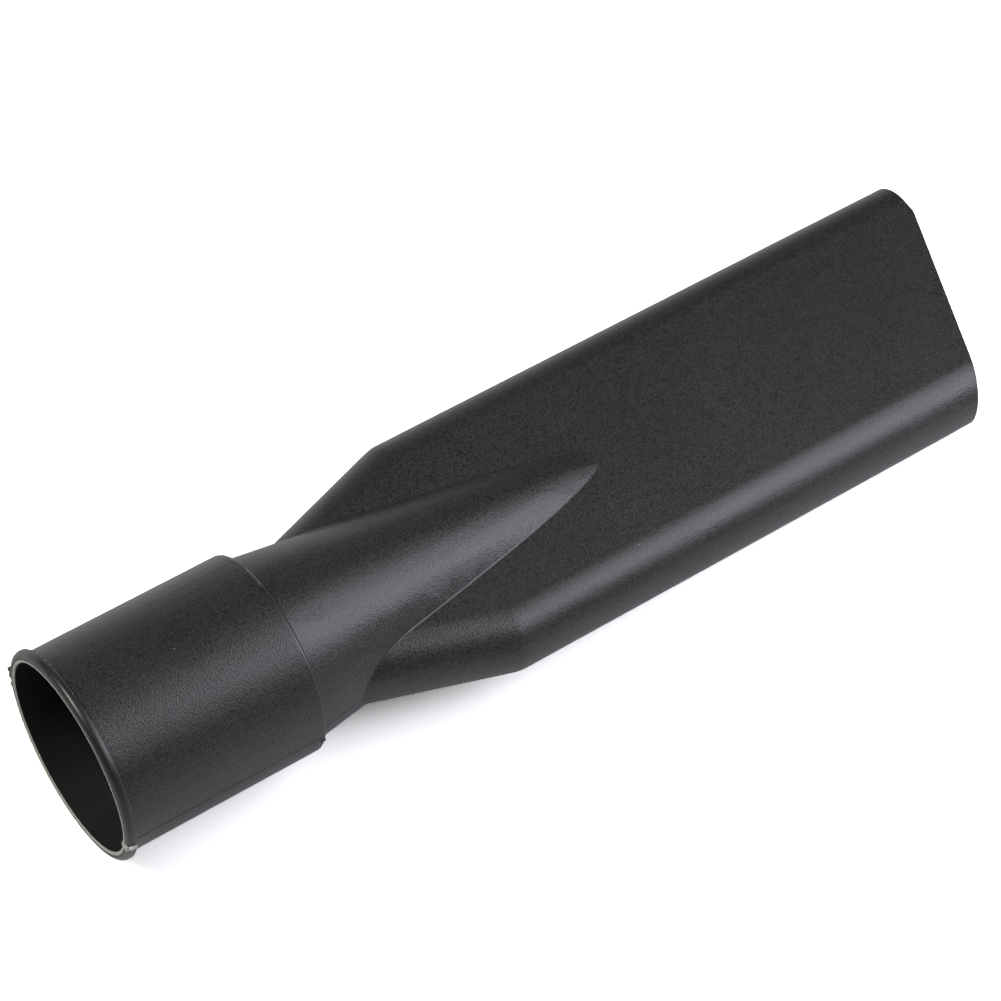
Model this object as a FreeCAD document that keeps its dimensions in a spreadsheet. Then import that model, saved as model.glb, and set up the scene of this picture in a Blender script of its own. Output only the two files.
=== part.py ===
# Vacuum crevice tool: one blow-moulded piece, hollow from its round socket to its flat mouth.
import FreeCAD, Part
import Sketcher
import os
from FreeCAD import Placement, Rotation, Vector

NODE = "crevice_tool"
TOUCH = 1e-4

# Driving dimensions in millimetres and degrees. The tool's own axis is X, from socket to mouth.
DIMENSIONS = (
    ("overall_length", 316.0),
    ("wall", 1.8),
    # Socket: a round collar with a lip at its rim, for the end of a wand or hose
    ("collar_diameter", 62.0),
    ("collar_length", 65.0),
    ("lip_height", 1.4),
    ("lip_length", 3.0),
    ("lip_rounding", 0.7),
    ("rim_rounding", 1.7),
    ("rim_chamfer", 0.3),
    # Neck: a cone that steps down from the collar and runs out into the flat of the nozzle
    ("step_height", 2.3),
    ("neck_run_out", 178.2),
    ("step_rounding", 1.2),
    ("crease_rounding", 1.0),
    # Nozzle: a flat blade that widens at two shoulders, round at its sides up to the parting line's land
    ("nozzle_width", 82.1),
    ("nozzle_thickness", 25.6),
    ("shoulder_end", 125.1),
    ("shoulder_angle", 17.6),
    ("parting_land", 0.3),
    # Mouth: cut on a slant, with a square stretch at the longer side
    ("mouth_slant", 20.0),
    ("mouth_square_width", 17.0),
)

# Values that follow from the driving dimensions.
DERIVED = (
    ("collar_radius", "collar_diameter / 2"),
    ("lip_radius", "collar_radius + lip_height"),
    ("neck_radius", "collar_radius - step_height"),
    ("half_width", "nozzle_width / 2"),
    ("half_thickness", "nozzle_thickness / 2"),
    # The shoulder is carried back into the neck, where its section lies wholly inside the cone
    ("tuck_half_width", "(neck_radius + half_thickness) / 2"),
    ("shoulder_rate", "tan(shoulder_angle * 1 deg)"),
    ("tuck_place", "shoulder_end - (half_width - tuck_half_width) / shoulder_rate"),
    # The sides are rounded up to the land, and the shoulder's corner a little wider than the sides
    ("side_rounding", "half_thickness - parting_land / 2"),
    ("corner_rounding", "half_thickness + wall"),
    # The cone meets the flat at the run-out and goes on a little way inside the blade
    ("neck_rate", "(neck_radius - half_thickness) / (neck_run_out - collar_length)"),
    ("neck_end", "neck_run_out + half_thickness / 2"),
    ("neck_end_radius", "half_thickness - neck_rate * half_thickness / 2"),
    # The inside keeps the wall's thickness square to each face
    ("bore_radius", "collar_radius - wall"),
    ("rim_radius", "bore_radius + rim_chamfer"),
    ("stop_place", "collar_length - wall"),
    ("neck_wall", "wall * sqrt(1 + neck_rate ^ 2)"),
    ("stop_radius", "neck_radius + neck_rate * wall - neck_wall"),
    ("inner_neck_end_radius", "neck_end_radius - neck_wall"),
    ("shoulder_wall", "wall * sqrt(1 + shoulder_rate ^ 2)"),
    ("inner_tuck_half_width", "tuck_half_width - shoulder_wall"),
    ("inner_shoulder_end", "shoulder_end + (shoulder_wall - wall) / shoulder_rate"),
    ("inner_half_width", "half_width - wall"),
    ("inner_thickness", "nozzle_thickness - 2 * wall"),
    ("inner_side_rounding", "side_rounding - wall"),
    ("inner_corner_rounding", "corner_rounding - wall"),
    # The blade is made a little too long and the mouth's cut trims it
    ("blade_end", "overall_length + nozzle_thickness"),
    ("mouth_rate", "tan(mouth_slant * 1 deg)"),
    ("mouth_corner", "half_width - mouth_square_width"),
    ("mouth_middle", "overall_length - mouth_rate * mouth_corner"),
    ("cut_half_width", "half_width + nozzle_thickness"),
    ("cut_start", "mouth_middle - mouth_rate * cut_half_width"),
    ("cut_end", "blade_end + nozzle_thickness"),
    # At rest the collar's rounded end and the mouth's slanted lower edge touch the ground
    ("rest_fall", "collar_radius - step_rounding - half_thickness"),
    ("rest_run", "mouth_middle - collar_length + step_rounding"),
    ("rest_span", "sqrt(rest_fall ^ 2 + rest_run ^ 2)"),
    ("rest_pitch", "(atan(rest_fall / rest_run) + asin(step_rounding / rest_span)) / 1 deg"),
    ("rest_roll", "asin(mouth_rate * tan(rest_pitch * 1 deg)) / 1 deg"),
)


def make_sheet(document):
    """Fill the spreadsheet with the driving dimensions and the values that follow from them."""
    sheet = document.addObject("Spreadsheet::Sheet", "Sizes")
    for row, (alias, value) in enumerate(DIMENSIONS + DERIVED, start=1):
        driving = isinstance(value, float)
        sheet.set(f"A{row}", alias)
        sheet.setAlias(f"B{row}", alias)
        sheet.set(f"B{row}", str(value) if driving else f"={value}")
    document.recompute()
    return sheet


def bind(target, name, alias):
    """Tie one property or named constraint to a cell of the sheet."""
    target.setExpression(name, f"Sizes.{alias}")


def new_sketch(body, name):
    """Add a sketch on the body's own level plane, with the tool's axis along the sketch's X."""
    plane = next(feature for feature in body.Origin.OriginFeatures if feature.Role == "XY_Plane")
    sketch = body.newObject("Sketcher::SketchObject", name)
    sketch.AttachmentSupport = [(plane, "")]
    sketch.MapMode = "FlatFace"
    return sketch


def draw_chain(sketch, points, upright, level):
    """Draw a closed chain of lines through the points, some of them upright and some level."""
    count = len(points)
    for start, end in zip(points, points[1:] + points[:1]):
        sketch.addGeometry(Part.LineSegment(Vector(*start, 0), Vector(*end, 0)))
    for line in range(count):
        sketch.addConstraint(Sketcher.Constraint("Coincident", line, 2, (line + 1) % count, 1))
    for line in upright:
        sketch.addConstraint(Sketcher.Constraint("Vertical", line))
    for line in level:
        sketch.addConstraint(Sketcher.Constraint("Horizontal", line))


def place_end(sketch, sheet, line, direction, alias):
    """Set one coordinate of a line's far end by a cell of the sheet."""
    index = sketch.addConstraint(Sketcher.Constraint(direction, -1, 1, line, 2, sheet.get(alias)))
    sketch.renameConstraint(index, alias)
    bind(sketch, f"Constraints.{alias}", alias)


def mirror_ends(sketch, first, second):
    """Keep the far ends of two lines mirrored about the tool's axis."""
    sketch.addConstraint(Sketcher.Constraint("Symmetric", first, 2, second, 2, -1))


def draw_outer_profile(body, sheet):
    """Half section of the lip, collar, step and neck, beside the tool's axis."""
    sketch = new_sketch(body, "OuterProfile")
    points = [
        (0, 0),
        (0, sheet.lip_radius),
        (sheet.lip_length, sheet.lip_radius),
        (sheet.lip_length, sheet.collar_radius),
        (sheet.collar_length, sheet.collar_radius),
        (sheet.collar_length, sheet.neck_radius),
        (sheet.neck_end, sheet.neck_end_radius),
        (sheet.neck_end, 0),
    ]
    draw_chain(sketch, points, upright=(0, 2, 4, 6), level=(1, 3, 7))
    sketch.addConstraint(Sketcher.Constraint("Coincident", 0, 1, -1, 1))
    place_end(sketch, sheet, 0, "DistanceY", "lip_radius")
    place_end(sketch, sheet, 1, "DistanceX", "lip_length")
    place_end(sketch, sheet, 2, "DistanceY", "collar_radius")
    place_end(sketch, sheet, 3, "DistanceX", "collar_length")
    place_end(sketch, sheet, 4, "DistanceY", "neck_radius")
    place_end(sketch, sheet, 5, "DistanceX", "neck_end")
    place_end(sketch, sheet, 5, "DistanceY", "neck_end_radius")
    return sketch


def draw_inner_profile(body, sheet):
    """Half section of the socket's bore, its stop and the inside of the neck."""
    sketch = new_sketch(body, "InnerProfile")
    points = [
        (0, 0),
        (0, sheet.rim_radius),
        (sheet.rim_chamfer, sheet.bore_radius),
        (sheet.stop_place, sheet.bore_radius),
        (sheet.stop_place, sheet.stop_radius),
        (sheet.neck_end, sheet.inner_neck_end_radius),
        (sheet.neck_end, 0),
    ]
    draw_chain(sketch, points, upright=(0, 3, 5), level=(2, 6))
    sketch.addConstraint(Sketcher.Constraint("Coincident", 0, 1, -1, 1))
    place_end(sketch, sheet, 0, "DistanceY", "rim_radius")
    place_end(sketch, sheet, 1, "DistanceX", "rim_chamfer")
    place_end(sketch, sheet, 1, "DistanceY", "bore_radius")
    place_end(sketch, sheet, 2, "DistanceX", "stop_place")
    place_end(sketch, sheet, 3, "DistanceY", "stop_radius")
    place_end(sketch, sheet, 4, "DistanceX", "neck_end")
    place_end(sketch, sheet, 4, "DistanceY", "inner_neck_end_radius")
    return sketch


def draw_plan(body, sheet, tuck_half_width, shoulder_end, half_width):
    """Plan of the blade: two shoulders from inside the neck, then straight sides."""
    sketch = new_sketch(body, "BladePlan")
    tuck = (sheet.tuck_place, sheet.get(tuck_half_width))
    shoulder = (sheet.get(shoulder_end), sheet.get(half_width))
    end = (sheet.blade_end, sheet.get(half_width))
    far_side = [tuck, shoulder, end]
    near_side = [(place, -width) for place, width in reversed(far_side)]
    draw_chain(sketch, far_side + near_side, upright=(2,), level=(1, 3))
    mirror_ends(sketch, 0, 3)
    mirror_ends(sketch, 5, 4)
    place_end(sketch, sheet, 0, "DistanceX", shoulder_end)
    place_end(sketch, sheet, 0, "DistanceY", half_width)
    place_end(sketch, sheet, 1, "DistanceX", "blade_end")
    place_end(sketch, sheet, 5, "DistanceX", "tuck_place")
    place_end(sketch, sheet, 5, "DistanceY", tuck_half_width)
    return sketch


def draw_mouth_cut(body, sheet):
    """Plan of what is cut away beyond the mouth: a slanted edge, then a square one."""
    sketch = new_sketch(body, "MouthCut")
    points = [
        (sheet.cut_start, -sheet.cut_half_width),
        (sheet.overall_length, sheet.mouth_corner),
        (sheet.overall_length, sheet.cut_half_width),
        (sheet.cut_end, sheet.cut_half_width),
        (sheet.cut_end, -sheet.cut_half_width),
    ]
    draw_chain(sketch, points, upright=(1,), level=(2, 4))
    mirror_ends(sketch, 2, 3)
    place_end(sketch, sheet, 0, "DistanceX", "overall_length")
    place_end(sketch, sheet, 0, "DistanceY", "mouth_corner")
    place_end(sketch, sheet, 1, "DistanceY", "cut_half_width")
    place_end(sketch, sheet, 2, "DistanceX", "cut_end")
    place_end(sketch, sheet, 4, "DistanceX", "cut_start")
    return sketch


def turn(body, name, sketch):
    """Revolve a half section about the tool's axis."""
    feature = body.newObject("PartDesign::Revolution", name)
    feature.Profile = sketch
    feature.ReferenceAxis = (sketch, ["H_Axis"])
    feature.Angle = 360
    return feature


def fillet(body, name, base, edges, alias):
    """Round the named edges of a feature."""
    feature = body.newObject("PartDesign::Fillet", name)
    feature.Base = (base, edges)
    bind(feature, "Radius", alias)
    body.Document.recompute()
    return feature


def named_edges(shape, wanted):
    """Names of the edges of a shape that pass a test."""
    return [f"Edge{number}" for number, edge in enumerate(shape.Edges, start=1) if wanted(edge)]


def on_ring(place, radius):
    """Test for edges on one circle about the tool's axis."""
    def wanted(edge):
        curve = edge.Curve
        round_edge = isinstance(curve, Part.Circle) and abs(curve.Radius - radius) < TOUCH
        return round_edge and abs(curve.Center.x - place) < TOUCH
    return wanted


def build_blade(body, sheet, plan, thickness, corner_rounding, side_rounding):
    """Raise the blade from its plan, round the shoulders' corners and then the sides."""
    slab = body.newObject("PartDesign::Pad", "BladeSlab")
    slab.Profile = plan
    slab.SideType = "Symmetric"
    bind(slab, "Length", thickness)
    body.Document.recompute()

    def at_corner(edge):
        place = edge.CenterOfMass.x
        return edge.BoundBox.ZLength > TOUCH and sheet.tuck_place + TOUCH < place < sheet.blade_end - TOUCH

    def along_side(edge):
        return edge.BoundBox.ZLength < TOUCH < edge.BoundBox.XLength

    corners = fillet(body, "ShoulderCorners", slab, named_edges(slab.Shape, at_corner), corner_rounding)
    return fillet(body, "RoundSides", corners, named_edges(corners.Shape, along_side), side_rounding)


def build_outside(body, sheet):
    """Model the outside: blade, socket and neck, with the crease, step and lip rounded."""
    plan = draw_plan(body, sheet, "tuck_half_width", "shoulder_end", "half_width")
    build_blade(body, sheet, plan, "nozzle_thickness", "corner_rounding", "side_rounding")
    turned = turn(body, "SocketAndNeck", draw_outer_profile(body, sheet))
    body.Document.recompute()

    step = named_edges(turned.Shape, on_ring(sheet.collar_length, sheet.collar_radius))
    stepped = fillet(body, "StepRounding", turned, step, "step_rounding")
    rim = named_edges(stepped.Shape, on_ring(0, sheet.lip_radius))
    rimmed = fillet(body, "RimRounding", stepped, rim, "rim_rounding")
    lip = named_edges(rimmed.Shape, on_ring(sheet.lip_length, sheet.lip_radius))
    lipped = fillet(body, "LipRounding", rimmed, lip, "lip_rounding")
    cone = next(face for face in lipped.Shape.Faces if isinstance(face.Surface, Part.Cone))

    def at_crease(edge):
        own_to_cone = isinstance(edge.Curve, (Part.Circle, Part.Line))
        return not own_to_cone and any(edge.isSame(other) for other in cone.Edges)

    return fillet(body, "CreaseRounding", lipped, named_edges(lipped.Shape, at_crease), "crease_rounding")


def build_inside(body, sheet):
    """Model the space inside the tool as a form of its own, one wall within the outside."""
    plan = draw_plan(body, sheet, "inner_tuck_half_width", "inner_shoulder_end", "inner_half_width")
    build_blade(body, sheet, plan, "inner_thickness", "inner_corner_rounding", "inner_side_rounding")
    turn(body, "BoreAndNeck", draw_inner_profile(body, sheet))
    body.Document.recompute()


def check_cut(before, after):
    """Stop if a cut has taken nothing away."""
    if after.Shape.Volume > before.Shape.Volume * (1 - TOUCH):
        raise RuntimeError(f"{after.Label} cuts nothing")


def build_tool(document, sheet):
    """Model the tool along its own axis: outside first, then the hollow, then the mouth."""
    body = document.addObject("PartDesign::Body", NODE)
    body.Label = NODE
    outside = build_outside(body, sheet)
    inside = document.addObject("PartDesign::Body", "Inside")
    build_inside(inside, sheet)

    hollow = body.newObject("PartDesign::Boolean", "Hollow")
    hollow.Type = "Cut"
    hollow.setObjects([inside])
    document.recompute()
    check_cut(outside, hollow)
    mouth_plan = draw_mouth_cut(body, sheet)
    mouth = body.newObject("PartDesign::Pocket", "Mouth")
    mouth.Profile = mouth_plan
    mouth.Type = "ThroughAll"
    mouth.SideType = "Symmetric"
    body.Tip = mouth
    document.recompute()
    check_cut(hollow, mouth)
    return body


def lay_down(document, body, sheet):
    """Lay the tool on its collar's end and the mouth's lower edge, its origin below the box's middle."""
    body.Placement = Placement(Vector(), Rotation(0, sheet.rest_pitch, sheet.rest_roll))
    document.recompute()
    box = body.Shape.optimalBoundingBox()
    middle = Vector(box.Center.x, box.Center.y, box.ZMin)
    body.Placement = Placement(-middle, body.Placement.Rotation)
    document.recompute()


def check_document(document, body):
    """Stop on any failed object, or on a tool that is not one sound solid."""
    for item in document.Objects:
        if "Invalid" in item.State or "Error" in item.State:
            raise RuntimeError(f"{item.Label} failed: {item.State}")
    shape = body.Shape
    if shape.isNull() or not shape.isValid() or len(shape.Solids) != 1:
        raise RuntimeError(f"{body.Label} is not one valid solid")


def main():
    """Build the document and write the tool's shape."""
    document = FreeCAD.newDocument("CreviceTool")
    sheet = make_sheet(document)
    body = build_tool(document, sheet)
    lay_down(document, body, sheet)
    check_document(document, body)
    os.makedirs("parts", exist_ok=True)
    body.Shape.exportStep(f"parts/{body.Label}.step")
    print(body.Label, "volume", round(body.Shape.Volume), "box", body.Shape.optimalBoundingBox())


main()
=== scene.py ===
"""Dresses the moulded crevice tool in grained black plastic and sets its stage."""

import math

import bpy
from bpy.props import FloatProperty, FloatVectorProperty, PointerProperty
from bpy.types import Operator, Panel, PropertyGroup
from mathutils import Euler, Matrix, Vector


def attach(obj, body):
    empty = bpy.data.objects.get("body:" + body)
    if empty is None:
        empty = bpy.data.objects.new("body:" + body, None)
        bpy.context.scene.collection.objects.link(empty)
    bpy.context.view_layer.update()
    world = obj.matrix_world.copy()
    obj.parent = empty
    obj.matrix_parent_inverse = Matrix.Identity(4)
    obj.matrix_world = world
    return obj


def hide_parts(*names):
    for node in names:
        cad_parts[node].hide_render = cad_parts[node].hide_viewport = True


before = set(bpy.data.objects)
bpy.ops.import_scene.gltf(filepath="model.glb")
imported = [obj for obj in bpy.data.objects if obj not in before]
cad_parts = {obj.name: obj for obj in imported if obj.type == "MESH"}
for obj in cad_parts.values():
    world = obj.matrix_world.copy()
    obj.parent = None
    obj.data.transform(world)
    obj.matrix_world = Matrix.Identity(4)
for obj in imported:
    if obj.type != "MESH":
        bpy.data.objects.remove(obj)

bl_info = {
    "name": "Crevice Tool",
    "version": (1, 0, 0),
    "blender": (4, 5, 0),
    "location": "3D View > Sidebar > Crevice Tool",
    "description": "Dresses the moulded crevice tool and sets its stage",
    "category": "Object",
}

NODE = "crevice_tool"

# How the tool lies: its own axis runs along X from the rim, and slopes down to the mouth.
REST_ROLL = math.radians(1.5595)
REST_PITCH = math.radians(4.2762)
REST_PLACE = Vector((-0.156919, 0.0, 0.035674))
REST = Matrix.Translation(REST_PLACE) @ Euler((REST_ROLL, REST_PITCH, 0.0)).to_matrix().to_4x4()

# The moulded form about its own axis: lengths in metres, the neck's taper and the mouth's angle.
LIP_LENGTH = 0.003
COLLAR_LENGTH = 0.065
COLLAR_RADIUS = 0.031
STEP_ROUNDING = 0.0012
NECK_RADIUS = 0.0287
NECK_TAPER = 0.1405
HALF_THICKNESS = 0.0128
CREASE_DEPTH = 0.0006
CREASE_END = 0.150
RIM_CHAMFER = 0.0003
RIM_FLAT_RADIUS = 0.0307
SHOULDER_START = (0.0797, 0.02663)
OVERALL_LENGTH = 0.316
MOUTH_START = 0.29
MOUTH_SLANT = math.radians(20.0)

# Up to here the hollow is judged from the axis, and from here on from a flat line of this half width.
CORE_START = 0.0732
CORE_HALF_WIDTH = 0.02825

# How faces are told apart: a distance in metres, and cosines of the angle to a direction.
TOUCH = 2e-5
SAME_WAY = 0.999
BACKWARDS = -0.9

# How the pieces are meshed and shaded.
MERGE_DISTANCE = 1e-6
FLAT_ANGLE = math.radians(0.02)
EASING_ANGLE = math.radians(40.0)
EASING_SEGMENTS = 2
SHELL_SMOOTH_ANGLE = math.radians(32.0)
SEAM_SMOOTH_ANGLE = math.radians(50.0)
SEAM_SIDES = 8
FLASH_CUTS = 3

# Finishes of the shell, in the order of its materials.
GRAINED, SMOOTH, TRIMMED, RIM_WEAR_AND_HIGHLIGHT = range(4)

# Bits of flash on the seam: name, material, seed, angle round the axis from the far side in degrees,
# and in metres the place along the axis, the distance from it and the size along, away and round.
FLASH_BITS = (
    ("near_flash", "torn_black_plastic", 4, 180.0, 0.0013, 0.0326, (0.0024, 0.0012, 0.0006)),
    ("near_fold", "torn_black_plastic", 7, 183.0, 0.0002, 0.0306, (0.0011, 0.0030, 0.0024)),
    ("far_flash", "trimmed_black_plastic", 9, 0.0, 0.0013, 0.0325, (0.0026, 0.0011, 0.0006)),
    ("far_sliver", "trimmed_black_plastic", 12, -5.0, 0.0009, 0.0322, (0.0014, 0.0010, 0.0030)),
    ("far_crumb", "trimmed_black_plastic", 15, -13.0, 0.0008, 0.0321, (0.0010, 0.0009, 0.0018)),
    ("step_nub", "grained_black_plastic", 21, 184.0, 0.0638, 0.0307, (0.0016, 0.0012, 0.0014)),
)

# The mould's grain: smooth pebbles with finer crumbs. Its colour has painted shade, darker in the
# hollows and lighter on the tops of the relief, and soft patches of uneven tone.
PEBBLE_SMOOTHNESS = 0.6
PEBBLE_SHARE = 0.7
CRUMBS_PER_PEBBLE = 1.7
CRUMB_SHARE = 0.6
PATCH_SCALE = 38.0
GRAIN_DEPTH = 0.000085
GRAIN_SHADES = (0.4, 1.6)
RELIEF_PAINTED_SHADE = 2.4
PATCH_CONTRAST = 0.16
MIDDLE_SHADE = 0.37
GRAINED_ROUGHNESS = 0.31
PATCH_ROUGHNESS = 0.08

# Specks of dust on the grain.
SPECK_SCALE = 210.0
SPECK_SIZE = 0.035
SPECK_RARITY = 0.93
DUST_ROUGHNESS = 0.3

# Faint streaks along the smooth plastic.
STREAK_SCALE = (25.0, 160.0, 160.0)
STREAK_SHADES = (0.88, 1.12)
STREAK_STRENGTH = 0.12
STREAK_DEPTH = 0.0002
SMOOTH_ROUGHNESS = 0.28
STREAK_ROUGHNESS = 0.12

# Scuffs where an edge was cut, torn or worn, and where the pale ring round the bore ends: worn plastic
# with a painted highlight.
SCUFF_SCALE = 900.0
SCUFF_SHADES = (0.55, 1.3)
SCUFF_STRENGTH = 0.3
SCUFF_DEPTH = 0.0001
SCUFFED_ROUGHNESS = 0.40
SCUFF_ROUGHNESS = 0.2
WEAR_AND_HIGHLIGHT_RADIUS = 0.0301
WEAR_AND_HIGHLIGHT_FADE = 0.0004

# Where the photograph was taken from.
CAMERA_PLACE = Vector((-0.31341, -0.39588, 0.86124))
CAMERA_AIM = Vector((-0.00652, 0.00836, 0.02407))
CAMERA_ROLL = math.radians(3.2507)
CAMERA_LENS = 120.204
SENSOR_WIDTH = 36.0
NEAREST_SEEN = 0.01
FARTHEST_SEEN = 100.0

# Where the lights look, and how wide each one is, in metres.
LIGHT_AIM = Vector((0.03, 0.0, 0.03))
SOFTBOX_SIZE = 0.4

# Softboxes: name, angle round from +X and height in degrees, distance in metres, and colour.
SOFTBOXES = (
    ("key", -30.0, 55.0, 0.6, "near_light"),
    ("low", -30.0, 22.0, 1.0, "near_light"),
    ("front", -60.0, 48.0, 1.0, "near_light"),
    ("back", 150.0, 48.0, 1.0, "far_light"),
    ("far", 75.0, 18.0, 1.0, "far_light"),
)

# The floor, in metres: its width, how far it lies below the tool, and where it fades to white.
FLOOR_SIZE = 60.0
FLOOR_DROP = 0.0001
FLOOR_NEAR = 0.35
FLOOR_FAR = 0.8

# Rays that meet the floor's far part as white.
SEEN_BY = ("Is Camera Ray", "Is Glossy Ray", "Is Transmission Ray")


class Signal:
    """A shader output that takes part in arithmetic"""

    def __init__(self, socket):
        self.socket = socket

    @staticmethod
    def node(tree, kind, settings=None, inputs=None, output=0):
        """Add any node: its settings first, then the values or links of its sockets"""
        made = tree.nodes.new(kind)
        for name, value in (settings or {}).items():
            setattr(made, name, value)
        for name, value in (inputs or {}).items():
            if isinstance(value, Signal):
                tree.links.new(value.socket, made.inputs[name])
            else:
                made.inputs[name].default_value = value
        return Signal(made.outputs[output])

    def _math(self, operation, first, second):
        tree = self.socket.id_data
        return Signal.node(tree, "ShaderNodeMath", {"operation": operation}, {0: first, 1: second})

    def __add__(self, other):
        return self._math("ADD", self, other)

    def __radd__(self, other):
        return self._math("ADD", other, self)

    def __sub__(self, other):
        return self._math("SUBTRACT", self, other)

    def __mul__(self, other):
        return self._math("MULTIPLY", self, other)

    def __lt__(self, other):
        return self._math("LESS_THAN", self, other)

    def __gt__(self, other):
        return self._math("GREATER_THAN", self, other)


class CreviceSizes(PropertyGroup):
    """Sizes of the fine marks that moulding and trimming leave"""

    edge_easing: FloatProperty(
        name="Edge easing", description="Width of the rounding on trimmed edges",
        default=0.0002, min=0.0, unit="LENGTH")
    seam_radius: FloatProperty(
        name="Seam radius", description="Radius of the bead along the parting seam",
        default=0.00014, min=0.0, unit="LENGTH")
    flash_raggedness: FloatProperty(
        name="Flash raggedness", description="How uneven the bits of flash are",
        default=0.0003, min=0.0, unit="LENGTH")
    grain_pitch: FloatProperty(
        name="Grain pitch", description="Size of the grain on the outside",
        default=0.00044, min=0.0001, unit="LENGTH")


class CreviceColours(PropertyGroup):
    """Colours of the plastic and of the stage"""

    plastic: FloatVectorProperty(
        name="Plastic", description="Black plastic of the outside",
        default=(0.029, 0.029, 0.0298), subtype="COLOR", min=0.0, max=1.0)
    inside: FloatVectorProperty(
        name="Inside", description="Smooth plastic of the inside",
        default=(0.0215, 0.0215, 0.0222), subtype="COLOR", min=0.0, max=1.0)
    trim: FloatVectorProperty(
        name="Trimmed edge", description="Scuffed plastic where the mouth was cut",
        default=(0.085, 0.085, 0.085), subtype="COLOR", min=0.0, max=1.0)
    # Pale worn plastic; on the ring round the bore it is also a painted highlight.
    wear_and_highlight: FloatVectorProperty(
        name="Worn edge", description="Pale plastic where the rim is worn and flash was torn off",
        default=(0.5, 0.5, 0.49), subtype="COLOR", min=0.0, max=1.0)
    dust: FloatVectorProperty(
        name="Dust", description="Pale specks on the outside",
        default=(0.30, 0.29, 0.28), subtype="COLOR", min=0.0, max=1.0)
    floor: FloatVectorProperty(
        name="Floor", description="Pale floor under the tool",
        default=(0.75, 0.75, 0.75), subtype="COLOR", min=0.0, max=1.0)
    floor_seen: FloatVectorProperty(
        name="Floor as seen", description="Overexposed floor that the camera sees",
        default=(2.3, 2.3, 2.2), subtype="COLOR", min=0.0)
    near_light: FloatVectorProperty(
        name="Near light", description="Faintly cool light on the near side",
        default=(0.985, 0.965, 1.05), subtype="COLOR", min=0.0)
    far_light: FloatVectorProperty(
        name="Far light", description="Faintly warm light on the far side",
        default=(1.04, 1.01, 0.93), subtype="COLOR", min=0.0)


class CreviceLights(PropertyGroup):
    """Strengths of the soft studio lights"""

    key: FloatProperty(
        name="Key", description="Softbox close by on the near right",
        default=1.81, min=0.0, unit="POWER")
    low: FloatProperty(
        name="Low", description="Low softbox on the near right",
        default=4.16, min=0.0, unit="POWER")
    front: FloatProperty(
        name="Front", description="Softbox in front",
        default=2.06, min=0.0, unit="POWER")
    back: FloatProperty(
        name="Back", description="Softbox behind on the left",
        default=5.68, min=0.0, unit="POWER")
    far: FloatProperty(
        name="Far", description="Weak low softbox on the far side",
        default=0.2, min=0.0, unit="POWER")
    world: FloatProperty(
        name="Surroundings", description="Even light from all round",
        default=0.016, min=0.0)


def only(piece):
    """Make one object the only one selected, and active"""
    bpy.ops.object.select_all(action="DESELECT")
    piece.select_set(True)
    bpy.context.view_layer.objects.active = piece


def apply_modifiers(piece):
    """Apply every modifier of a piece in order"""
    only(piece)
    for name in [modifier.name for modifier in piece.modifiers]:
        bpy.ops.object.modifier_apply(modifier=name)


def face_outwards(piece):
    """Turn the normals of a piece outwards"""
    only(piece)
    bpy.ops.object.mode_set(mode="EDIT")
    bpy.ops.mesh.select_all(action="SELECT")
    bpy.ops.mesh.normals_make_consistent(inside=False)
    bpy.ops.object.mode_set(mode="OBJECT")


def lay_down(piece):
    """Put a piece that was modelled along the tool's own axis where the tool lies"""
    only(piece)
    piece.matrix_world = REST @ piece.matrix_world
    bpy.ops.object.transform_apply(location=True, rotation=True, scale=True)


def new_material(name):
    """A new material and its empty node tree"""
    material = bpy.data.materials.new(name)
    material.use_nodes = True
    material.node_tree.nodes.clear()
    return material, material.node_tree


def finish_material(tree, shader):
    """Link the finished shader to the material's output"""
    output = tree.nodes.new("ShaderNodeOutputMaterial")
    tree.links.new(shader.socket, output.inputs["Surface"])


def finish_plastic(tree, colour, roughness, relief, strength, depth):
    """Finish a plastic from its colour, roughness and relief"""
    bump = Signal.node(
        tree, "ShaderNodeBump", {}, {"Strength": strength, "Distance": depth, "Height": relief})
    shader = Signal.node(
        tree, "ShaderNodeBsdfPrincipled", {},
        {"Base Color": colour, "Roughness": roughness, "Normal": bump})
    finish_material(tree, shader)


def own_axes(tree):
    """Coordinates along the tool's own axis"""
    place = Signal.node(tree, "ShaderNodeTexCoord", output="Object")
    settings = {"vector_type": "TEXTURE"}
    turned = {"Vector": place, "Location": REST_PLACE, "Rotation": (REST_ROLL, REST_PITCH, 0.0)}
    return Signal.node(tree, "ShaderNodeMapping", settings, turned)


def noise(tree, place, scale, detail, roughness=0.5):
    """Soft noise over a surface"""
    return Signal.node(
        tree, "ShaderNodeTexNoise", {},
        {"Vector": place, "Scale": scale, "Detail": detail, "Roughness": roughness})


def distance(tree, place):
    """How far a place is from the origin"""
    return Signal.node(
        tree, "ShaderNodeVectorMath", {"operation": "LENGTH"}, {0: place}, output="Value")


def rise(tree, value, start, end):
    """A smooth rise from 0 to 1 while a value goes from start to end"""
    return Signal.node(
        tree, "ShaderNodeMapRange", {"interpolation_type": "SMOOTHSTEP"},
        {"Value": value, "From Min": start, "From Max": end})


def rgba(colour, shade=1.0):
    """A colour in a darker or lighter shade, fully opaque"""
    return tuple(level * shade for level in colour) + (1.0,)


def blend(tree, factor, first, second):
    """Mix two colours by a factor"""
    return Signal.node(
        tree, "ShaderNodeMix", {"data_type": "RGBA"},
        {"Factor": factor, "A": first, "B": second}, output="Result")


def shaded(tree, factor, colour, shades):
    """A colour that goes from its dark to its light shade with a factor"""
    dark, light = shades
    return blend(tree, factor, rgba(colour, dark), rgba(colour, light))


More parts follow.
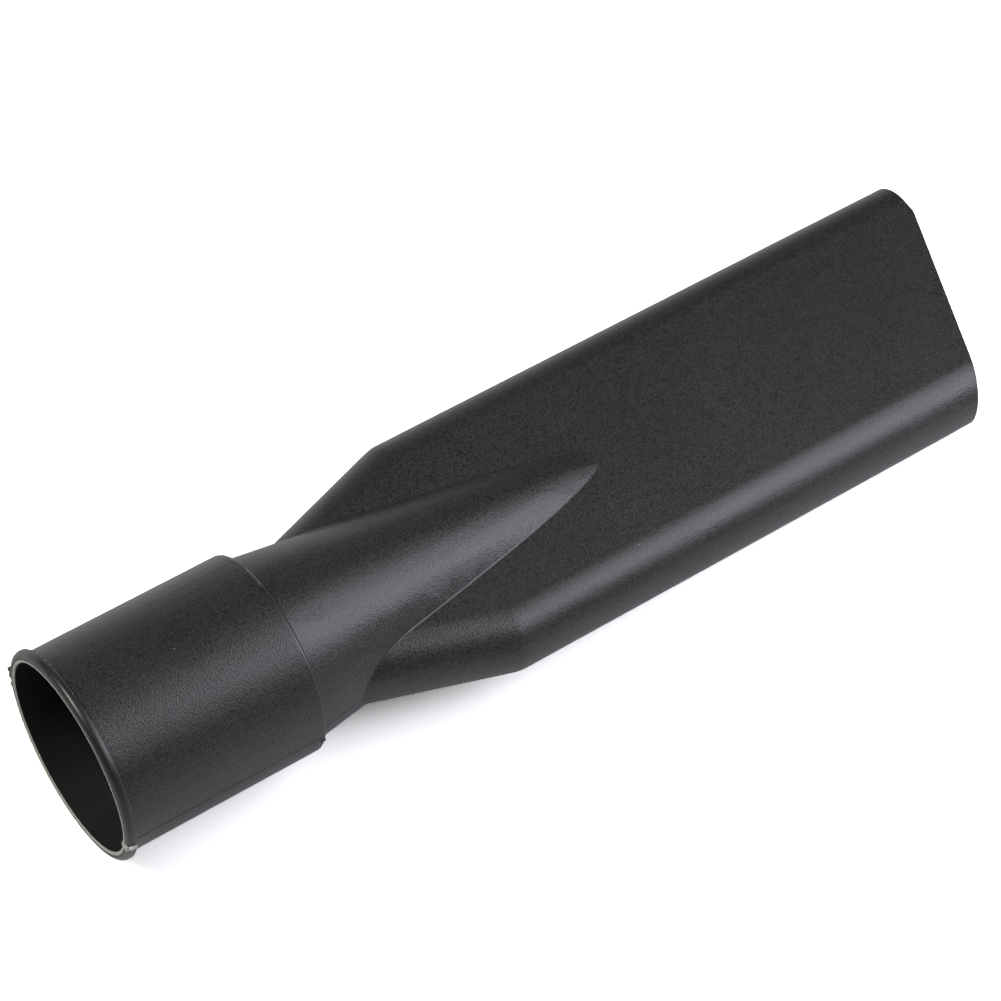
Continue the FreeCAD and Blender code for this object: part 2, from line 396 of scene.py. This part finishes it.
def grained_plastic(colours, sizes):
    """Black plastic with the fine grain of the mould and painted shade in its hollows, a little uneven
    and dusty
    """
    material, tree = new_material("grained_black_plastic")
    place = own_axes(tree)
    pitch = 1.0 / sizes.grain_pitch
    pebbles = Signal.node(
        tree, "ShaderNodeTexVoronoi", {"feature": "SMOOTH_F1"},
        {"Vector": place, "Scale": pitch, "Smoothness": PEBBLE_SMOOTHNESS})
    crumbs = noise(tree, place, pitch * CRUMBS_PER_PEBBLE, detail=2.0, roughness=0.55)
    relief = crumbs * CRUMB_SHARE - pebbles * PEBBLE_SHARE
    patches = noise(tree, place, PATCH_SCALE, detail=3.0)
    scattered = {"Vector": place, "Scale": SPECK_SCALE}
    specks = Signal.node(tree, "ShaderNodeTexVoronoi", {}, scattered)
    chance = Signal.node(tree, "ShaderNodeTexVoronoi", {}, scattered, output="Color")
    lucky = Signal.node(tree, "ShaderNodeSeparateColor", {}, {"Color": chance})
    dust = (specks < SPECK_SIZE) * (lucky > SPECK_RARITY)
    # Painted shade: darker in the grain's hollows and lighter on its tops, plus soft patches of uneven
    # tone.
    factor = relief * RELIEF_PAINTED_SHADE + patches * PATCH_CONTRAST + MIDDLE_SHADE
    clean = shaded(tree, factor, colours.plastic, GRAIN_SHADES)
    dusty = blend(tree, dust, clean, rgba(colours.dust))
    roughness = GRAINED_ROUGHNESS + patches * PATCH_ROUGHNESS + dust * DUST_ROUGHNESS
    finish_plastic(tree, dusty, roughness, relief, strength=1.0, depth=GRAIN_DEPTH)
    return material


def smooth_plastic(colours):
    """The smoother black plastic inside, faintly streaked along the tool"""
    material, tree = new_material("smooth_black_plastic")
    drawn = Signal.node(
        tree, "ShaderNodeMapping", {}, {"Vector": own_axes(tree), "Scale": STREAK_SCALE})
    streaks = noise(tree, drawn, scale=1.0, detail=3.0)
    streaked = shaded(tree, streaks, colours.inside, STREAK_SHADES)
    roughness = SMOOTH_ROUGHNESS + streaks * STREAK_ROUGHNESS
    finish_plastic(tree, streaked, roughness, streaks, STREAK_STRENGTH, STREAK_DEPTH)
    return material


def scuffed_plastic(name, colour, further_out=None):
    """Scuffed plastic of a cut or torn edge, or of a worn ring with a painted highlight and another
    colour further out
    """
    material, tree = new_material(name)
    place = own_axes(tree)
    scuffs = noise(tree, place, SCUFF_SCALE, detail=4.0, roughness=0.6)
    scuffed = shaded(tree, scuffs, colour, SCUFF_SHADES)
    if further_out is not None:
        # The pale ring round the bore: worn plastic with a painted highlight, ragged at its outer edge.
        across = Signal.node(
            tree, "ShaderNodeVectorMath", {"operation": "MULTIPLY"}, {0: place, 1: (0.0, 1.0, 1.0)})
        ragged = distance(tree, across) + scuffs * WEAR_AND_HIGHLIGHT_FADE
        outside = rise(tree, ragged, WEAR_AND_HIGHLIGHT_RADIUS, WEAR_AND_HIGHLIGHT_RADIUS + WEAR_AND_HIGHLIGHT_FADE)
        scuffed = blend(tree, outside, scuffed, rgba(further_out))
    roughness = SCUFFED_ROUGHNESS + scuffs * SCUFF_ROUGHNESS
    finish_plastic(tree, scuffed, roughness, scuffs, SCUFF_STRENGTH, SCUFF_DEPTH)
    return material


def is_rim(place):
    """Whether a face lies on the rim's flat end or on the chamfer in it"""
    return place.x < RIM_CHAMFER and math.hypot(place.y, place.z) < RIM_FLAT_RADIUS


def is_trimmed(place, normal):
    """Whether a face lies on the mouth's cut"""
    square = normal.x > SAME_WAY and place.x > OVERALL_LENGTH - TOUCH
    cut = Vector((math.cos(MOUTH_SLANT), -math.sin(MOUTH_SLANT), 0.0))
    slanted = normal.dot(cut) > SAME_WAY and place.x > MOUTH_START
    return square or slanted


def is_polished(place):
    """Whether a face lies on the lip, the collar's rounded end or the crease along the neck"""
    radius = math.hypot(place.y, place.z)
    lip = place.x < LIP_LENGTH + TOUCH
    step = abs(place.x - COLLAR_LENGTH + STEP_ROUNDING / 2) < STEP_ROUNDING / 2 + TOUCH
    cone = NECK_RADIUS - NECK_TAPER * (place.x - COLLAR_LENGTH)
    crease = max(abs(radius - cone), abs(abs(place.z) - HALF_THICKNESS)) < CREASE_DEPTH
    return lip or step or (crease and COLLAR_LENGTH < place.x < CREASE_END)


def is_inside(place, normal):
    """Whether a face looks into the hollow"""
    half_width = CORE_HALF_WIDTH if place.x > CORE_START else 0.0
    core = max(-half_width, min(half_width, place.y))
    outwards = Vector((0.0, place.y - core, place.z))
    stop = normal.x < BACKWARDS and place.x > COLLAR_LENGTH / 2
    return stop or normal.dot(outwards) < -TOUCH


def finish_of(place, normal):
    """The finish of a face of the shell"""
    # The ring round the bore is worn plastic with a painted highlight.
    if is_rim(place):
        return RIM_WEAR_AND_HIGHLIGHT
    if is_trimmed(place, normal):
        return TRIMMED
    if is_inside(place, normal) or is_polished(place):
        return SMOOTH
    return GRAINED


class CREVICE_OT_shell(Operator):
    """Make the moulded shell: grained outside, smooth inside, eased where it was trimmed"""

    bl_idname = "crevice.shell"
    bl_label = "Moulded Shell"

    def execute(self, context):
        sizes = context.scene.crevice_sizes
        colours = context.scene.crevice_colours
        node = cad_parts[NODE]
        shell = bpy.data.objects.new("moulded_shell", node.data.copy())
        context.collection.objects.link(shell)
        only(shell)
        bpy.ops.mesh.customdata_custom_splitnormals_clear()
        bpy.ops.object.mode_set(mode="EDIT")
        bpy.ops.mesh.select_all(action="SELECT")
        bpy.ops.mesh.remove_doubles(threshold=MERGE_DISTANCE)
        bpy.ops.mesh.mark_sharp(clear=True)
        bpy.ops.mesh.dissolve_limited(angle_limit=FLAT_ANGLE)
        bpy.ops.object.mode_set(mode="OBJECT")

        finishes = {
            GRAINED: grained_plastic(colours, sizes),
            SMOOTH: smooth_plastic(colours),
            TRIMMED: scuffed_plastic("trimmed_black_plastic", colours.trim),
            RIM_WEAR_AND_HIGHLIGHT: scuffed_plastic("worn_black_plastic", colours.wear_and_highlight, colours.inside),
        }
        shell.data.materials.clear()
        for finish in sorted(finishes):
            shell.data.materials.append(finishes[finish])
        upright = REST.inverted()
        turn = upright.to_3x3()
        for face in shell.data.polygons:
            face.material_index = finish_of(upright @ face.center, turn @ face.normal)

        easing = shell.modifiers.new("eased_edges", "BEVEL")
        easing.limit_method = "ANGLE"
        easing.angle_limit = EASING_ANGLE
        easing.width = sizes.edge_easing
        easing.segments = EASING_SEGMENTS
        apply_modifiers(shell)
        bpy.ops.object.shade_smooth_by_angle(angle=SHELL_SMOOTH_ANGLE)
        weighted = shell.modifiers.new("even_shading", "WEIGHTED_NORMAL")
        weighted.keep_sharp = True
        apply_modifiers(shell)
        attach(shell, "root")
        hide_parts(NODE)
        return {"FINISHED"}


class CREVICE_OT_seam(Operator):
    """Make the bead along the parting seam, on both sides of the collar and neck"""

    bl_idname = "crevice.seam"
    bl_label = "Parting Seam"

    def execute(self, context):
        radius = context.scene.crevice_sizes.seam_radius
        corner = STEP_ROUNDING * (1.0 - math.sqrt(0.5))
        route = [
            Vector((LIP_LENGTH, -COLLAR_RADIUS, 0.0)),
            Vector((COLLAR_LENGTH - STEP_ROUNDING, -COLLAR_RADIUS, 0.0)),
            Vector((COLLAR_LENGTH - corner, corner - COLLAR_RADIUS, 0.0)),
            Vector((COLLAR_LENGTH, STEP_ROUNDING - COLLAR_RADIUS, 0.0)),
            Vector((COLLAR_LENGTH + radius, -NECK_RADIUS, 0.0)),
            Vector((SHOULDER_START[0], -SHOULDER_START[1], 0.0)),
        ]
        bpy.ops.object.select_all(action="DESELECT")
        bpy.ops.mesh.primitive_circle_add(
            vertices=SEAM_SIDES, radius=radius, fill_type="NGON",
            location=route[0], rotation=(0.0, math.pi / 2, 0.0))
        seam = context.active_object
        seam.name = "parting_seam"
        bpy.ops.object.transform_apply(location=True, rotation=True, scale=True)
        bpy.ops.object.mode_set(mode="EDIT")
        bpy.ops.mesh.select_all(action="SELECT")
        for start, end in zip(route, route[1:]):
            bpy.ops.mesh.extrude_region_move(TRANSFORM_OT_translate={"value": end - start})
        bpy.ops.object.mode_set(mode="OBJECT")
        seam.modifiers.new("far_side", "MIRROR").use_axis = (False, True, False)
        apply_modifiers(seam)
        face_outwards(seam)
        bpy.ops.object.shade_smooth_by_angle(angle=SEAM_SMOOTH_ANGLE)
        lay_down(seam)
        seam.data.materials.append(bpy.data.materials["grained_black_plastic"])
        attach(seam, "root")
        return {"FINISHED"}


class CREVICE_OT_flash(Operator):
    """Make the ragged bits of flash left on the seam, at the lip and at the step"""

    bl_idname = "crevice.flash"
    bl_label = "Seam Flash"

    def execute(self, context):
        raggedness = context.scene.crevice_sizes.flash_raggedness
        scuffed_plastic("torn_black_plastic", context.scene.crevice_colours.wear_and_highlight)
        for name, material, seed, angle, along, away, size in FLASH_BITS:
            turn = math.radians(angle)
            middle = Vector((along, away * math.cos(turn), away * math.sin(turn)))
            bpy.ops.object.select_all(action="DESELECT")
            bpy.ops.mesh.primitive_cube_add(size=1.0, location=middle, rotation=(turn, 0.0, 0.0))
            flash = context.active_object
            flash.name = name
            flash.scale = size
            bpy.ops.object.transform_apply(location=True, rotation=True, scale=True)
            bpy.ops.object.mode_set(mode="EDIT")
            bpy.ops.mesh.select_all(action="SELECT")
            bpy.ops.mesh.subdivide(number_cuts=FLASH_CUTS)
            bpy.ops.transform.vertex_random(offset=raggedness, uniform=0.0, normal=0.0, seed=seed)
            bpy.ops.object.mode_set(mode="OBJECT")
            face_outwards(flash)
            soft = flash.modifiers.new("softened", "SUBSURF")
            soft.levels = 1
            soft.render_levels = 1
            apply_modifiers(flash)
            bpy.ops.object.shade_smooth()
            lay_down(flash)
            flash.data.materials.append(bpy.data.materials[material])
            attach(flash, "root")
        return {"FINISHED"}


def pale_floor(colours):
    """The floor's material: matte, overexposed where the camera sees it, and white far away"""
    material, tree = new_material("pale_floor")
    place = Signal.node(tree, "ShaderNodeTexCoord", output="Object")
    away = rise(tree, distance(tree, place), FLOOR_NEAR, FLOOR_FAR)
    camera, mirrored, clear = (Signal.node(tree, "ShaderNodeLightPath", output=name) for name in SEEN_BY)
    matte = Signal.node(tree, "ShaderNodeBsdfDiffuse", {}, {"Color": rgba(colours.floor)})
    bright = Signal.node(tree, "ShaderNodeBsdfDiffuse", {}, {"Color": rgba(colours.floor_seen)})
    white = Signal.node(tree, "ShaderNodeEmission", {}, {"Strength": 1.0})
    near = Signal.node(tree, "ShaderNodeMixShader", {}, {0: camera, 1: matte, 2: bright})
    seen = (camera + mirrored + clear) * away
    finish_material(tree, Signal.node(tree, "ShaderNodeMixShader", {}, {0: seen, 1: near, 2: white}))
    return material


def studio(glow):
    """Surroundings that give a faint even light and are white where the camera sees them"""
    world = bpy.data.worlds.new("studio")
    world.use_nodes = True
    tree = world.node_tree
    tree.nodes.clear()
    camera = Signal.node(tree, "ShaderNodeLightPath", output="Is Camera Ray")
    strength = glow + camera * (1.0 - glow)
    background = Signal.node(
        tree, "ShaderNodeBackground", {}, {"Color": (1.0, 1.0, 1.0, 1.0), "Strength": strength})
    output = tree.nodes.new("ShaderNodeOutputWorld")
    tree.links.new(background.socket, output.inputs["Surface"])
    return world


def softbox(name, azimuth, elevation, reach, power, colour):
    """Add a square area light that looks at the tool and that the camera doesn't see"""
    turn = Euler((0.0, math.radians(-elevation), math.radians(azimuth)))
    place = LIGHT_AIM + turn.to_matrix() @ Vector((reach, 0.0, 0.0))
    bpy.ops.object.light_add(type="AREA", location=place)
    lamp = bpy.context.active_object
    lamp.name = name
    lamp.rotation_euler = (LIGHT_AIM - place).to_track_quat("-Z", "Y").to_euler()
    lamp.data.shape = "SQUARE"
    lamp.data.size = SOFTBOX_SIZE
    lamp.data.energy = power
    lamp.data.color = colour
    lamp.visible_camera = False


def photo_camera():
    """Add the camera where the photograph was taken from"""
    bpy.ops.object.camera_add(location=CAMERA_PLACE)
    camera = bpy.context.active_object
    turn = (CAMERA_AIM - CAMERA_PLACE).to_track_quat("-Z", "Y").to_matrix()
    camera.rotation_euler = (turn @ Matrix.Rotation(CAMERA_ROLL, 3, "Z")).to_euler()
    camera.data.lens = CAMERA_LENS
    camera.data.sensor_width = SENSOR_WIDTH
    camera.data.clip_start = NEAREST_SEEN
    camera.data.clip_end = FARTHEST_SEEN
    return camera


class CREVICE_OT_stage(Operator):
    """Set the pale floor, the soft studio light and the camera"""

    bl_idname = "crevice.stage"
    bl_label = "Stage"

    def execute(self, context):
        scene = context.scene
        colours = scene.crevice_colours
        lights = scene.crevice_lights
        bpy.ops.object.select_all(action="DESELECT")
        bpy.ops.mesh.primitive_plane_add(size=FLOOR_SIZE, location=(0.0, 0.0, -FLOOR_DROP))
        floor = context.active_object
        floor.name = "floor"
        bpy.ops.object.transform_apply(location=True, rotation=True, scale=True)
        floor.data.materials.append(pale_floor(colours))

        scene.world = studio(lights.world)
        for name, azimuth, elevation, reach, colour in SOFTBOXES:
            power = getattr(lights, name)
            softbox(f"{name}_light", azimuth, elevation, reach, power, getattr(colours, colour))
        scene.camera = photo_camera()
        scene.view_settings.view_transform = "Standard"
        return {"FINISHED"}


class CREVICE_PT_panel(Panel):
    """Sidebar panel that lists the tool's pieces, sizes, colours and lights"""

    bl_idname = "CREVICE_PT_panel"
    bl_label = "Crevice Tool"
    bl_space_type = "VIEW_3D"
    bl_region_type = "UI"
    bl_category = "Crevice Tool"

    def draw(self, context):
        scene = context.scene
        for group in (scene.crevice_sizes, scene.crevice_colours, scene.crevice_lights):
            for name in group.__annotations__:
                self.layout.prop(group, name)
        for operator in PIECES:
            self.layout.operator(operator.bl_idname)


PIECES = (CREVICE_OT_shell, CREVICE_OT_seam, CREVICE_OT_flash, CREVICE_OT_stage)
CLASSES = (CreviceSizes, CreviceColours, CreviceLights, *PIECES, CREVICE_PT_panel)


def register():
    """Register the classes and hang the settings on the scene"""
    for cls in CLASSES:
        bpy.utils.register_class(cls)
    bpy.types.Scene.crevice_sizes = PointerProperty(type=CreviceSizes)
    bpy.types.Scene.crevice_colours = PointerProperty(type=CreviceColours)
    bpy.types.Scene.crevice_lights = PointerProperty(type=CreviceLights)


def unregister():
    """Take the settings and classes away again"""
    del bpy.types.Scene.crevice_lights
    del bpy.types.Scene.crevice_colours
    del bpy.types.Scene.crevice_sizes
    for cls in reversed(CLASSES):
        bpy.utils.unregister_class(cls)


def main():
    """Dress the tool"""
    for name in ("Cube", "Light", "Camera"):
        leftover = bpy.data.objects.get(name)
        if leftover:
            bpy.data.objects.remove(leftover)
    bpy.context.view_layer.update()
    register()
    bpy.ops.crevice.shell()
    bpy.ops.crevice.seam()
    bpy.ops.crevice.flash()
    bpy.ops.crevice.stage()


if __name__ == "__main__":
    main()
